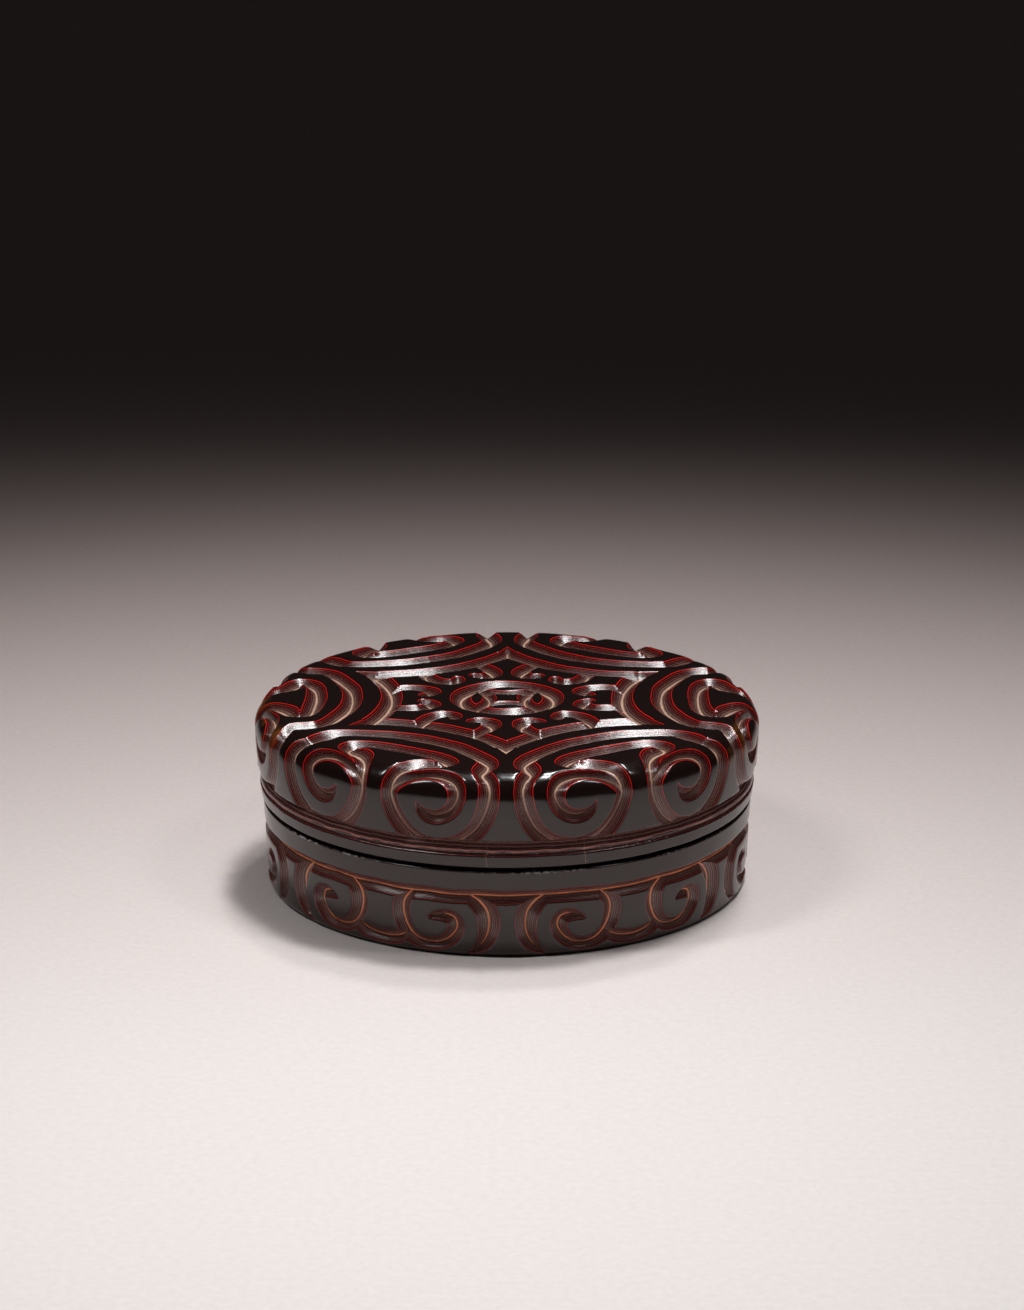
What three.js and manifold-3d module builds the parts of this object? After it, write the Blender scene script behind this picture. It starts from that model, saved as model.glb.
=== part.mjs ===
// A round lacquer box with a lift-off cover, carved with pommel scrolls.
// Millimetres, +Z up, the box's underside at z = 0, its axis on Z, the front towards -Y.
// Both halves are built alike: a board and a bent-wood hoop, cloth bedded in lacquer over the wood,
// a thick coat of carved lacquer outside and a thin black lining inside, which wraps over the rims.
import * as THREE from 'three';
import { mergeVertices } from 'three/addons/utils/BufferGeometryUtils.js';
import Module from 'manifold-3d';

// Driving dimensions of the closed box
const SHOULDER_R = 40;
const HEIGHT = 29.2;
const FLAT_TOP_R = 35.9;
const COVER_RIM = { r: 39.05, z: 14.6 };
const BOX_RIM = { r: 38.85, z: 14.0 };
const BOX_FOOT_R = 38.3;
const FOOT_ROUND = 1.2;
const RIM_ROUND = 0.3;
const WALL_BOW = 1.6;

// Thickness of each layer, from the outside in, and the space left for the glue between two layers
const COAT_TOP_T = 2.4;
const COAT_INNER_R = 36.6;
const CLOTH_T = 0.4;
const HOOP_T = 1.5;
const BOARD_T = 1.8;
const LINING_T = 0.3;
const BASE_COAT_T = 0.5;
const GLUE = 0.15;

// The cover stands on a ledge round the lip, and the carved coats stop short of it above and below,
// which leaves the dark seam. The lip hoop stands above the ledge, and is planed back there so that
// the cover slides over it.
const LEDGE_Z = 14.2;
const SEAT_GAP = 0.15;
const LIP_TOP_Z = 17.2;
const LIP_PLAY = 0.3;
const LIP_T = 2.05;

// Carving: every groove is a V with the same slope, so a narrower one is shallower
const HEADS = 6;
const HEAD_STEP = 360 / HEADS;
const FIRST_HEAD = 30;
const GROOVE_W = 1.65;
const GROOVE_SLOPE = 0.78;

// The cutters rise above the surface, and take this share of the room that a tight bend leaves
const CUTTER_RISE = 0.6;
const BEND_ROOM = 0.7;

const CARVED_SIDES = 60;
const PLAIN_SIDES = 30;
const SHOULDER_STEPS = 3;
const FOOT_STEPS = 2;
const TINY = 1e-6;

const SHOULDER_ROUND = SHOULDER_R - FLAT_TOP_R;
const SHOULDER_ARC = SHOULDER_ROUND * Math.PI / 2;
const WALL_TOP_Z = HEIGHT - SHOULDER_ROUND;
const WALL_S = FLAT_TOP_R + SHOULDER_ARC;
const MM_PER_DEG = SHOULDER_R * Math.PI / 180;
const SAMPLE_STEP = 0.01;

const wasm = await Module();
wasm.setup();

// Cover and box surfaces, as radius and height

// s is the length along the cover's outline from the middle of the top, over the shoulder and down the wall
function coverOutline(s) {
  if (s <= FLAT_TOP_R) return new THREE.Vector2(s, HEIGHT);
  if (s <= WALL_S) {
    const turn = (s - FLAT_TOP_R) / SHOULDER_ROUND;
    return new THREE.Vector2(
      FLAT_TOP_R + SHOULDER_ROUND * Math.sin(turn),
      WALL_TOP_Z + SHOULDER_ROUND * Math.cos(turn),
    );
  }
  const down = s - WALL_S;
  const share = down / (WALL_TOP_Z - COVER_RIM.z);
  return new THREE.Vector2(
    SHOULDER_R - (SHOULDER_R - COVER_RIM.r) * share ** WALL_BOW,
    WALL_TOP_Z - down,
  );
}

const coverS = (z) => WALL_S + WALL_TOP_Z - z;

function boxOutline(z) {
  return new THREE.Vector2(BOX_FOOT_R + (BOX_RIM.r - BOX_FOOT_R) * z / BOX_RIM.z, z);
}

// The cover's outline runs down and outwards, and the box's runs up, so their outward sides differ
const outwardFrom = (outline, way) => (
  outline === coverOutline ? new THREE.Vector2(-way.y, way.x) : new THREE.Vector2(way.y, -way.x));

// A point of the surface and its outward normal, at an angle in degrees from the front
function onSurface(outline, degrees, along) {
  const at = outline(along);
  const way = outline(along + SAMPLE_STEP).sub(at).normalize();
  const outward = outwardFrom(outline, way);
  const turn = THREE.MathUtils.degToRad(degrees);
  const place = (v) => new THREE.Vector3(v.x * Math.sin(turn), -v.x * Math.cos(turn), v.y);
  return { p: place(at), n: place(outward).normalize() };
}

// Solids

// The geometry with its vertices merged and the triangles that have no area left out
function mended(geometry) {
  geometry.deleteAttribute('normal');
  geometry.deleteAttribute('uv');
  const merged = mergeVertices(geometry);
  const index = merged.index.array;
  const kept = [];
  for (let i = 0; i < index.length; i += 3) {
    const [a, b, c] = [index[i], index[i + 1], index[i + 2]];
    if (a !== b && b !== c && c !== a) kept.push(a, b, c);
  }
  merged.setIndex(kept);
  return merged;
}

function toSolid(geometry) {
  return new wasm.Manifold(new wasm.Mesh({
    numProp: 3,
    vertProperties: new Float32Array(geometry.attributes.position.array),
    triVerts: new Uint32Array(geometry.index.array),
  }));
}

function toGeometry(solid) {
  const { numProp, vertProperties, triVerts } = solid.getMesh();
  const position = new Float32Array(vertProperties.length / numProp * 3);
  for (let i = 0; i < position.length / 3; i += 1) {
    for (let k = 0; k < 3; k += 1) position[3 * i + k] = vertProperties[numProp * i + k];
  }
  const geometry = new THREE.BufferGeometry();
  geometry.setAttribute('position', new THREE.BufferAttribute(position, 3));
  geometry.setIndex(Array.from(triVerts));
  return geometry;
}

// An outline of [radius, height] points, anticlockwise with the radius to the right, turned about Z
function turned(points, sides) {
  const outline = points.map(([r, z]) => new THREE.Vector2(r, z));
  if (outline[0].x > 0) outline.push(outline[0].clone());
  return mended(new THREE.LatheGeometry(outline, sides).rotateX(Math.PI / 2));
}

const disc = (r, z0, z1) => turned([[0, z0], [r, z0], [r, z1], [0, z1]], PLAIN_SIDES);

const hoop = (r0, r1, z0, z1) => turned([[r0, z0], [r1, z0], [r1, z1], [r0, z1]], PLAIN_SIDES);

// A thin-walled cup: its wall ends at rimZ, and its floor or ceiling lies between z0 and z1
function cup(r, wall, rimZ, z0, z1) {
  const up = [[0, z0], [r, z0], [r, rimZ], [r - wall, rimZ], [r - wall, z1], [0, z1]];
  const down = [[0, z0], [r - wall, z0], [r - wall, rimZ], [r, rimZ], [r, z1], [0, z1]];
  return turned(rimZ > z1 ? up : down, PLAIN_SIDES);
}

// Grooves

// A smooth curve through a few knots of [degrees, mm along the outline]
function smooth({ knots, steps }) {
  const curve = new THREE.CatmullRomCurve3(
    knots.map(([a, b]) => new THREE.Vector3(a * MM_PER_DEG, b, 0)), false, 'centripetal');
  return curve.getSpacedPoints(steps).map((v) => [v.x / MM_PER_DEG, v.y]);
}

// Plan coordinates of the top, across and along a head's axis, as an angle and a length from the middle
const fromPlan = ([across, along]) => [
  THREE.MathUtils.radToDeg(Math.atan2(across, along)), Math.hypot(across, along)];

// An arc that bows towards the middle of the top, its crown at the given length along the head's axis
function crown({ along, halfSpan, radius, steps }) {
  const points = [];
  for (let i = 0; i <= steps; i += 1) {
    const across = halfSpan * (2 * i / steps - 1);
    points.push(fromPlan([across, along + radius - Math.sqrt(radius ** 2 - across ** 2)]));
  }
  return points;
}

// One length of a V cutter between two sections of left, right and floor corners
function wedge([l0, r0, f0], [l1, r1, f1]) {
  const geometry = new THREE.BufferGeometry().setFromPoints([l0, r0, f0, l1, r1, f1]);
  geometry.setIndex([0, 2, 1, 3, 4, 5, 0, 3, 5, 0, 5, 2, 2, 5, 4, 2, 4, 1, 1, 4, 3, 1, 3, 0]);
  return toSolid(geometry);
}

// The wedges of a V groove along surface points, mitred at each of them; width is a half width by point.
// On the inside of a tight bend the cutter is drawn in, so that its sections never cross.
function groove(points, width, closed = false) {
  const count = points.length;
  const sections = points.map(({ p, n }, i) => {
    const before = p.clone().sub(points[closed ? (i + count - 1) % count : Math.max(i - 1, 0)].p);
    const after = points[closed ? (i + 1) % count : Math.min(i + 1, count - 1)].p.clone().sub(p);
    const came = (before.lengthSq() ? before : after).clone().normalize();
    const way = (after.lengthSq() ? after : before).clone().normalize();
    const side = way.clone().add(came).normalize().cross(n).normalize();
    const halfTurn = way.angleTo(came) / 2;
    const half = width(i / (count - 1));
    const reach = (half + CUTTER_RISE / GROOVE_SLOPE) / Math.cos(halfTurn);
    const room = BEND_ROOM * Math.min(before.length() || Infinity, after.length() || Infinity);
    const inside = Math.min(reach, room / Math.sin(halfTurn + TINY));
    const turnsLeft = came.clone().cross(way).dot(n) > 0;
    const top = p.clone().addScaledVector(n, CUTTER_RISE);
    return [
      top.clone().addScaledVector(side, turnsLeft ? -inside : -reach),
      top.clone().addScaledVector(side, turnsLeft ? reach : inside),
      p.clone().addScaledVector(n, -half * GROOVE_SLOPE),
    ];
  });
  if (closed) sections.push(sections[0]);
  return sections.slice(1).map((section, i) => wedge(sections[i], section));
}

// A half width that stays even, and then runs out evenly towards the end where one is given
const widthOf = ({ half, end = half, from = 0.8 }) => (t) => (
  t < from ? half : half + (end - half) * (t - from) / (1 - from));

// The half-sided shapes below are given in degrees from a head's axis and mm along the outline
const mirror = (points, side) => points.map(([a, b]) => [side * a, b]);

const STAR = { along: 18.3, halfSpan: 12.4, radius: 25.6, steps: 5, half: GROOVE_W };
const SECOND = { along: 24.6, halfSpan: 12.6, radius: 25.6, steps: 5, half: GROOVE_W };
const THIRD = { along: 30.3, halfSpan: 8.6, radius: 27, steps: 4, half: 1.5 };
const QUATREFOIL = { along: 2.7, halfSpan: 5, radius: 6.5, steps: 6, half: 1.05 };
const SECOND_LIMB = {
  knots: [[24.4, 33.4], [22.8, 36.4], [25.2, 39.2], [26.6, 41.8], [26.2, 44.2], [24.2, 46.6], [20.5, 49.3]],
  steps: 6,
};
const THIRD_LIMB = {
  knots: [[12.6, 35.2], [8, 35.9], [5.2, 37.2], [3.9, 39.4], [3.9, 41.6], [4.6, 43.5]],
  steps: 6,
};
const COVER_VOLUTE = {
  knots: [[8.4, 49.5], [6, 47], [4.6, 44], [4.6, 41], [7, 38.5], [12, 37.5], [16.5, 38.2], [19, 41],
    [18.2, 44], [15.4, 45.6], [12.6, 45], [11.6, 43.8]],
  steps: 12,
  half: 1.5,
  end: 0.7,
};
const BOX_VOLUTE = {
  knots: [[8.6, 10], [5.6, 8], [4.8, 6], [5.8, 3.9], [8.4, 2.6], [11.8, 2.4], [15, 3.3], [16.6, 5],
    [15.2, 6.6], [12.8, 6.9], [11.6, 5.9]],
  steps: 11,
  half: 1.4,
  end: 0.7,
};
const BRACKET = {
  knots: [[20, 10], [23.6, 8.6], [25, 6.5], [25, 4.4], [23.4, 2.6]],
  steps: 5,
  half: 1.45,
  end: 0.1,
  from: 0.5,
};
const CUP = { knots: [[-7, 3.5], [-3.5, 2.3], [0, 2.1], [3.5, 2.3], [7, 3.5]], steps: 4, half: 1.15 };
const HOOK = {
  lead: [6.6, 19.2], across: 3.7, along: 15, radius: 2.7, turns: [5, -127], steps: 4, half: 1.5, end: 0.8,
};
const CENTRE_RING_R = 7.35;
const COVER_RING_Z = 17.5;
const BOX_RING_Z = 10.1;
const WALL_RING_W = 1.15;

// The C-shaped groove that leaves the star and curls in beside a head's axis
function hookPath() {
  const path = [HOOK.lead];
  for (let i = 0; i <= HOOK.steps; i += 1) {
    const turn = THREE.MathUtils.degToRad(THREE.MathUtils.lerp(...HOOK.turns, i / HOOK.steps));
    path.push([HOOK.across + HOOK.radius * Math.cos(turn), HOOK.along + HOOK.radius * Math.sin(turn)]);
  }
  return path.map(fromPlan);
}

// One groove on both sides of a head: limb, crown and limb
function horseshoe(arch, limb) {
  const side = smooth(limb);
  return [...mirror(side, -1).reverse(), ...crown(arch), ...side];
}

const headAxes = () => Array.from({ length: HEADS }, (_, k) => FIRST_HEAD + k * HEAD_STEP);

function placer(outline) {
  return (points, axis) => points.map(([a, along]) => onSurface(outline, a + axis, along));
}

function coverGrooves() {
  const at = placer(coverOutline);
  const cutters = [];
  for (const axis of headAxes()) {
    cutters.push(...groove(at(horseshoe(SECOND, SECOND_LIMB), axis), widthOf(SECOND)));
    cutters.push(...groove(at(horseshoe(THIRD, THIRD_LIMB), axis), widthOf(THIRD)));
    for (const side of [-1, 1]) {
      cutters.push(...groove(at(mirror(smooth(COVER_VOLUTE), side), axis), widthOf(COVER_VOLUTE)));
      cutters.push(...groove(at(mirror(hookPath(), side), axis), widthOf(HOOK)));
    }
  }
  const star = headAxes().flatMap((axis) => at(crown(STAR), axis).slice(0, -1));
  cutters.push(...groove(star, widthOf(STAR), true));
  for (let axis = 0; axis < 360; axis += 90) {
    cutters.push(...groove(at(crown(QUATREFOIL), axis), widthOf(QUATREFOIL)));
  }
  return wasm.Manifold.union(cutters);
}

function boxGrooves() {
  const at = placer(boxOutline);
  const cutters = [];
  for (const axis of headAxes()) {
    for (const side of [-1, 1]) {
      cutters.push(...groove(at(mirror(smooth(BOX_VOLUTE), side), axis), widthOf(BOX_VOLUTE)));
      cutters.push(...groove(at(mirror(smooth(BRACKET), side), axis), widthOf(BRACKET)));
    }
    cutters.push(...groove(at(smooth(CUP), axis), widthOf(CUP)));
  }
  return wasm.Manifold.union(cutters);
}

// Pieces

// A turned V groove in an outline: the two edges and the floor between them
function notch(outline, middle, half) {
  const [a, b] = [outline(middle - half), outline(middle + half)];
  const outward = outwardFrom(outline, b.clone().sub(a).normalize());
  const floor = a.clone().lerp(b, 0.5).addScaledVector(outward, -half * GROOVE_SLOPE);
  return [a, floor, b].map((v) => [v.x, v.y]);
}

// The blank after carving, without the chips that come away where grooves cross
function carved(blank, cutters) {
  const bodies = toSolid(blank).subtract(cutters).decompose();
  bodies.sort((a, b) => b.volume() - a.volume());
  return toGeometry(bodies[0]);
}

function coverCarvedCoat() {
  const innerZ = HEIGHT - COAT_TOP_T;
  const shoulder = Array.from({ length: SHOULDER_STEPS + 1 }, (_, i) => (
    coverOutline(FLAT_TOP_R + SHOULDER_ARC * (1 - i / SHOULDER_STEPS)).toArray()));
  const blank = turned([
    [0, innerZ], [COAT_INNER_R, innerZ], [COAT_INNER_R, COVER_RIM.z],
    [COVER_RIM.r - RIM_ROUND, COVER_RIM.z], [COVER_RIM.r, COVER_RIM.z + RIM_ROUND],
    ...notch(coverOutline, coverS(COVER_RING_Z), WALL_RING_W).reverse(),
    ...shoulder,
    ...notch(coverOutline, CENTRE_RING_R, GROOVE_W).reverse(), [0, HEIGHT],
  ], CARVED_SIDES);
  return carved(blank, coverGrooves());
}

function boxCarvedCoat() {
  const round = Array.from({ length: FOOT_STEPS + 1 }, (_, i) => {
    const turn = Math.PI / 2 * i / FOOT_STEPS;
    return [BOX_FOOT_R - FOOT_ROUND + FOOT_ROUND * Math.sin(turn), FOOT_ROUND - FOOT_ROUND * Math.cos(turn)];
  });
  const blank = turned([
    [COAT_INNER_R, 0], ...round, ...notch(boxOutline, BOX_RING_Z, WALL_RING_W),
    [BOX_RIM.r, BOX_RIM.z - RIM_ROUND], [BOX_RIM.r - RIM_ROUND, BOX_RIM.z], [COAT_INNER_R, BOX_RIM.z],
  ], CARVED_SIDES);
  return carved(blank, boxGrooves());
}

// Radii of the layers inside the carved coat, each GLUE smaller than the last
const CLOTH_R = COAT_INNER_R - GLUE;
const WOOD_R = CLOTH_R - CLOTH_T - GLUE;
const INSIDE_WOOD_R = WOOD_R - HOOP_T - GLUE;
const COVER_BORE_R = INSIDE_WOOD_R - LINING_T;
const LIP_OUTER_R = COVER_BORE_R - LIP_PLAY;
const LIP_WOOD_R = LIP_OUTER_R - LINING_T - GLUE;
const LIP_INNER_R = INSIDE_WOOD_R - LIP_T;
const WELL_R = LIP_INNER_R - GLUE - LINING_T;

// Heights of the layers, under the cover's top, over the box's underside and at the two rims
const coverClothZ = HEIGHT - COAT_TOP_T - GLUE;
const coverBoardZ = coverClothZ - CLOTH_T - GLUE;
const coverHoopZ = coverBoardZ - BOARD_T - GLUE;
const coverSeatZ = LEDGE_Z + SEAT_GAP;
const coverWoodRimZ = coverSeatZ + LINING_T + GLUE;
const boxClothZ = BASE_COAT_T + GLUE;
const boxBoardZ = boxClothZ + CLOTH_T + GLUE;
const boxHoopZ = boxBoardZ + BOARD_T + GLUE;
const boxWoodRimZ = LEDGE_Z - LINING_T - GLUE;
const lipWoodTopZ = LIP_TOP_Z - LINING_T - GLUE;

const lipHoop = () => turned([
  [LIP_INNER_R, boxHoopZ], [INSIDE_WOOD_R, boxHoopZ], [INSIDE_WOOD_R, boxWoodRimZ],
  [LIP_WOOD_R, boxWoodRimZ], [LIP_WOOD_R, lipWoodTopZ], [LIP_INNER_R, lipWoodTopZ],
], PLAIN_SIDES);

// One skin over the floor, up inside the lip, over it, down its outside and out over the ledge
const boxLining = () => turned([
  [0, boxHoopZ], [WELL_R + LINING_T, boxHoopZ], [WELL_R + LINING_T, LIP_TOP_Z - LINING_T],
  [LIP_OUTER_R - LINING_T, LIP_TOP_Z - LINING_T], [LIP_OUTER_R - LINING_T, LEDGE_Z - LINING_T],
  [CLOTH_R, LEDGE_Z - LINING_T], [CLOTH_R, LEDGE_Z],
  [LIP_OUTER_R, LEDGE_Z], [LIP_OUTER_R, LIP_TOP_Z - RIM_ROUND], [LIP_OUTER_R - RIM_ROUND, LIP_TOP_Z],
  [WELL_R + RIM_ROUND, LIP_TOP_Z], [WELL_R, LIP_TOP_Z - RIM_ROUND],
  [WELL_R, boxHoopZ + LINING_T], [0, boxHoopZ + LINING_T],
], PLAIN_SIDES);

// One skin under the top, down the wall and out under the rim, where it stands on the ledge
const coverLining = () => turned([
  [0, coverHoopZ - LINING_T], [COVER_BORE_R, coverHoopZ - LINING_T],
  [COVER_BORE_R, coverSeatZ + RIM_ROUND], [COVER_BORE_R + RIM_ROUND, coverSeatZ],
  [CLOTH_R, coverSeatZ], [CLOTH_R, coverSeatZ + LINING_T],
  [INSIDE_WOOD_R, coverSeatZ + LINING_T], [INSIDE_WOOD_R, coverHoopZ], [0, coverHoopZ],
], PLAIN_SIDES);

const lacquer = () => new THREE.MeshStandardMaterial({ color: 0x211412, roughness: 0.22, metalness: 0 });
const lining = () => new THREE.MeshStandardMaterial({ color: 0x14100f, roughness: 0.3, metalness: 0 });
const wood = () => new THREE.MeshStandardMaterial({ color: 0xb08a5a, roughness: 0.8, metalness: 0 });
const cloth = () => new THREE.MeshStandardMaterial({ color: 0x6b5a45, roughness: 0.9, metalness: 0 });

function piece(name, geometry, material) {
  const mesh = new THREE.Mesh(geometry, material);
  mesh.name = name;
  return mesh;
}

const cover = new THREE.Group();
cover.add(
  piece('cover_carved_coat', coverCarvedCoat(), lacquer()),
  piece('cover_cloth_layer',
    cup(CLOTH_R, CLOTH_T, coverWoodRimZ, coverClothZ - CLOTH_T, coverClothZ), cloth()),
  piece('cover_core_disc', disc(WOOD_R, coverBoardZ - BOARD_T, coverBoardZ), wood()),
  piece('cover_core_hoop', hoop(WOOD_R - HOOP_T, WOOD_R, coverWoodRimZ, coverHoopZ), wood()),
  piece('cover_lining', coverLining(), lining()),
);

const box = new THREE.Group();
box.add(
  piece('box_carved_coat', boxCarvedCoat(), lacquer()),
  piece('box_base_coat', disc(CLOTH_R, 0, BASE_COAT_T), lining()),
  piece('box_cloth_layer', cup(CLOTH_R, CLOTH_T, boxWoodRimZ, boxClothZ, boxClothZ + CLOTH_T), cloth()),
  piece('box_core_disc', disc(WOOD_R, boxBoardZ, boxBoardZ + BOARD_T), wood()),
  piece('box_core_hoop', hoop(WOOD_R - HOOP_T, WOOD_R, boxHoopZ, boxWoodRimZ), wood()),
  piece('box_lip_hoop', lipHoop(), wood()),
  piece('box_lining', boxLining(), lining()),
);

const lacquerBox = new THREE.Group();
lacquerBox.add(box, cover);

export default lacquerBox;
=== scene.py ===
import math

import bpy
import numpy as np
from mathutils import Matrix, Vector
from mathutils.geometry import delaunay_2d_cdt
from mathutils.kdtree import KDTree

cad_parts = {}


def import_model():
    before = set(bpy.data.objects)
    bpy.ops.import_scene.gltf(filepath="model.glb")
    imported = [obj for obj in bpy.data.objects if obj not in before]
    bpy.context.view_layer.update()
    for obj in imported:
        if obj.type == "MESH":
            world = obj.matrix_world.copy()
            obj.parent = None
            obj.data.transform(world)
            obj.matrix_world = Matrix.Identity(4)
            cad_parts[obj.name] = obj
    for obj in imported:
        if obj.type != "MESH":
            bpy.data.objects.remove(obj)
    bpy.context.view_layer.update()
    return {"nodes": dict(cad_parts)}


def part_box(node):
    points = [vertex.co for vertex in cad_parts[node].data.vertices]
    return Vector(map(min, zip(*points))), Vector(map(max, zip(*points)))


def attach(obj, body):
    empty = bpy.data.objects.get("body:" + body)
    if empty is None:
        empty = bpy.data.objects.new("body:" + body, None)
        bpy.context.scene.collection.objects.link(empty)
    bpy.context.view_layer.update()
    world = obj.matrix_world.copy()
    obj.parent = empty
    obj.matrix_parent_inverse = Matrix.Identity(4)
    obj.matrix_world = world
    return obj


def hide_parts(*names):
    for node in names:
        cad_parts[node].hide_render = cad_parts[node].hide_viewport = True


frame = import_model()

# A round box in marbled lacquer: coats of black with thin coats of red between them, carved through
# with V grooves into pommel scrolls. Sizes are in millimetres, and meshes are made in metres.
MM = 0.001


def reach(node):
    """Radius, lowest and highest point of a node of the frame, in millimetres."""
    low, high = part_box(node)
    return -low.y / MM, low.z / MM, high.z / MM


COVER_R, COVER_RIM_Z, HEIGHT = reach("cover_carved_coat")
BOX_RIM_R, _, BOX_RIM_Z = reach("box_carved_coat")
BASE_TOP_Z = reach("box_base_coat")[2]
_, FLOOR_Z, LIP_TOP_Z = reach("box_lining")
_, COVER_SEAT_Z, CEILING_Z = reach("cover_lining")

# Outline of the closed box
SHOULDER_ROUND = 4.1
FLAT_TOP_R = COVER_R - SHOULDER_ROUND
WALL_TOP_Z = HEIGHT - SHOULDER_ROUND
COVER_RIM_R = 39.05
WALL_BOW = 1.6
BOX_FOOT_R = 38.3
FOOT_ROUND = 1.2
RIM_ROUND = 0.3

# Layers inside it, and how round their edges are
COAT_INNER_R = 36.6
COAT_TOP_T = 2.4
LINING_T = 0.3
LINING_EDGE_R = COAT_INNER_R - 0.02
WOOD_BORE_R = 34.25
COVER_BORE_R = WOOD_BORE_R - LINING_T
LIP_OUTER_R = COVER_BORE_R - 0.3
WELL_R = 31.75
SEAT_GAP = 0.15
WELL_FILLET = 0.9
LIP_ROUND = 0.45
MOUTH_ROUND = 0.4
LEDGE_FILLET = 0.12
SOFT_EDGE = 0.05
BASE_EDGE = 0.04

# Carving: all lengths along an outline start at its first point
HEAD_AXES = [30 + 60 * k for k in range(6)]
MM_PER_DEG = COVER_R * math.pi / 180
DEEPEST = 1.35
EDGE_ROUND = 0.1
FLOOR_ROUND = 0.05
SAMPLE_STEP = 0.15

# Each groove whose floor lies within FULL_FLOORS shows the whole row of coats, which is COATS_T thick
COATS_T = 1.3
FULL_FLOORS = (1.1, 1.4)

# Land edges are more worn on the shoulder, most of all a little above the wall
WORN_ROUND = 0.13
MOST_WORN_ABOVE = 1.6
WORN_OVER = 1.7


class Outline:
    """A profile of radius and height, which runs with the outside on its left, read at any length."""

    def __init__(self, *stretches):
        p = np.concatenate([np.atleast_2d(x) for x in stretches])
        fresh = np.concatenate([[True], np.linalg.norm(np.diff(p, axis=0), axis=1) > 1e-9])
        self.points = p[fresh]
        gaps = np.linalg.norm(np.diff(self.points, axis=0), axis=1)
        self.lengths = np.concatenate([[0], np.cumsum(gaps)])
        way = np.gradient(self.points, self.lengths, axis=0)
        way /= np.linalg.norm(way, axis=1, keepdims=True)
        self.normals = np.stack([-way[:, 1], way[:, 0]], 1)
        self.end = self.lengths[-1]

    def __call__(self, s):
        """Radius, height and outward normal at lengths s."""
        columns = (self.points[:, 0], self.points[:, 1], self.normals[:, 0], self.normals[:, 1])
        return [np.interp(s, self.lengths, x) for x in columns]


def straight(a, b, n=60):
    return np.linspace(a, b, n)


def bend(centre, radius, start, end, n=90):
    """An arc; angles are in degrees from the radius towards +Z."""
    a = np.radians(np.linspace(start, end, n))
    return np.stack([centre[0] + radius * np.cos(a), centre[1] + radius * np.sin(a)], 1)


def cover_outline():
    """From the middle of the top, over the shoulder, down the wall and in under the rim."""
    down = np.linspace(0, 1, 400)
    drop = WALL_TOP_Z - COVER_RIM_Z
    wall = np.stack([COVER_R - (COVER_R - COVER_RIM_R) * down ** WALL_BOW, WALL_TOP_Z - drop * down], 1)
    wall = wall[wall[:, 1] > COVER_RIM_Z + RIM_ROUND]
    edge = (wall[-1, 0] - RIM_ROUND, COVER_RIM_Z + RIM_ROUND)
    return Outline(
        straight((0, HEIGHT), (FLAT_TOP_R, HEIGHT)),
        bend((FLAT_TOP_R, WALL_TOP_Z), SHOULDER_ROUND, 90, 0), wall, bend(edge, RIM_ROUND, 0, -90),
        straight((edge[0], COVER_RIM_Z), (COAT_INNER_R, COVER_RIM_Z)))


def box_outline():
    """From the inside of the rim outwards, down the wall and in under the foot."""
    edge = (BOX_RIM_R - RIM_ROUND, BOX_RIM_Z - RIM_ROUND)
    foot = (BOX_FOOT_R - FOOT_ROUND, FOOT_ROUND)
    return Outline(
        straight((COAT_INNER_R, BOX_RIM_Z), (edge[0], BOX_RIM_Z)), bend(edge, RIM_ROUND, 90, 0),
        straight((BOX_RIM_R, edge[1]), (BOX_FOOT_R, FOOT_ROUND)), bend(foot, FOOT_ROUND, 0, -90))


def length_at(outline, z):
    """Length along the outline at which the wall has a height."""
    wall = outline.points[:, 0] > COVER_RIM_R - 1
    return float(np.interp(-z, -outline.points[wall, 1], outline.lengths[wall]))


def place(outline, theta, s):
    """Points of the surface and their normals; theta is in radians from the front, towards +X."""
    r, z, nr, nz = outline(s)
    around = np.stack([np.sin(theta), -np.cos(theta)], -1)
    points = np.concatenate([around * r[..., None], z[..., None]], -1)
    normals = np.concatenate([around * nr[..., None], nz[..., None]], -1)
    return points, normals


def smooth(knots, n=16):
    """Centripetal Catmull-Rom curve through the knots."""
    size = (MM_PER_DEG, 1, 1)
    k = [np.array(p, float) * size for p in knots]
    k = [2 * k[0] - k[1], *k, 2 * k[-1] - k[-2]]
    out = []
    for p0, p1, p2, p3 in zip(k, k[1:], k[2:], k[3:]):
        t1 = np.linalg.norm(p1 - p0) ** 0.5
        t2 = t1 + np.linalg.norm(p2 - p1) ** 0.5
        t3 = t2 + np.linalg.norm(p3 - p2) ** 0.5
        t = np.linspace(t1, t2, n, endpoint=False)[:, None]
        a1 = ((t1 - t) * p0 + t * p1) / t1
        a2 = ((t2 - t) * p1 + (t - t1) * p2) / (t2 - t1)
        a3 = ((t3 - t) * p2 + (t - t2) * p3) / (t3 - t2)
        b1 = ((t2 - t) * a1 + t * a2) / t2
        b2 = ((t3 - t) * a2 + (t - t1) * a3) / (t3 - t1)
        out.append(((t2 - t) * b1 + (t - t1) * b2) / (t2 - t1))
    out.append(k[-2][None])
    return np.concatenate(out) / size


def from_plan(rows):
    """Across and along a head's axis on the flat top, as degrees and length from the middle."""
    x, y, half = np.asarray(rows, float).T
    return np.stack([np.degrees(np.arctan2(x, y)), np.hypot(x, y), half], 1)


def crown(along, half_span, radius, half, n=60):
    """An arc that bows towards the middle of the top."""
    x = np.linspace(-half_span, half_span, n)
    return from_plan(np.stack([x, along + radius - np.sqrt(radius ** 2 - x ** 2), np.full(n, half)], 1))


def ring(along, half, n=720):
    return np.stack([np.linspace(0, 360, n), np.full(n, along), np.full(n, half)], 1)


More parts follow.
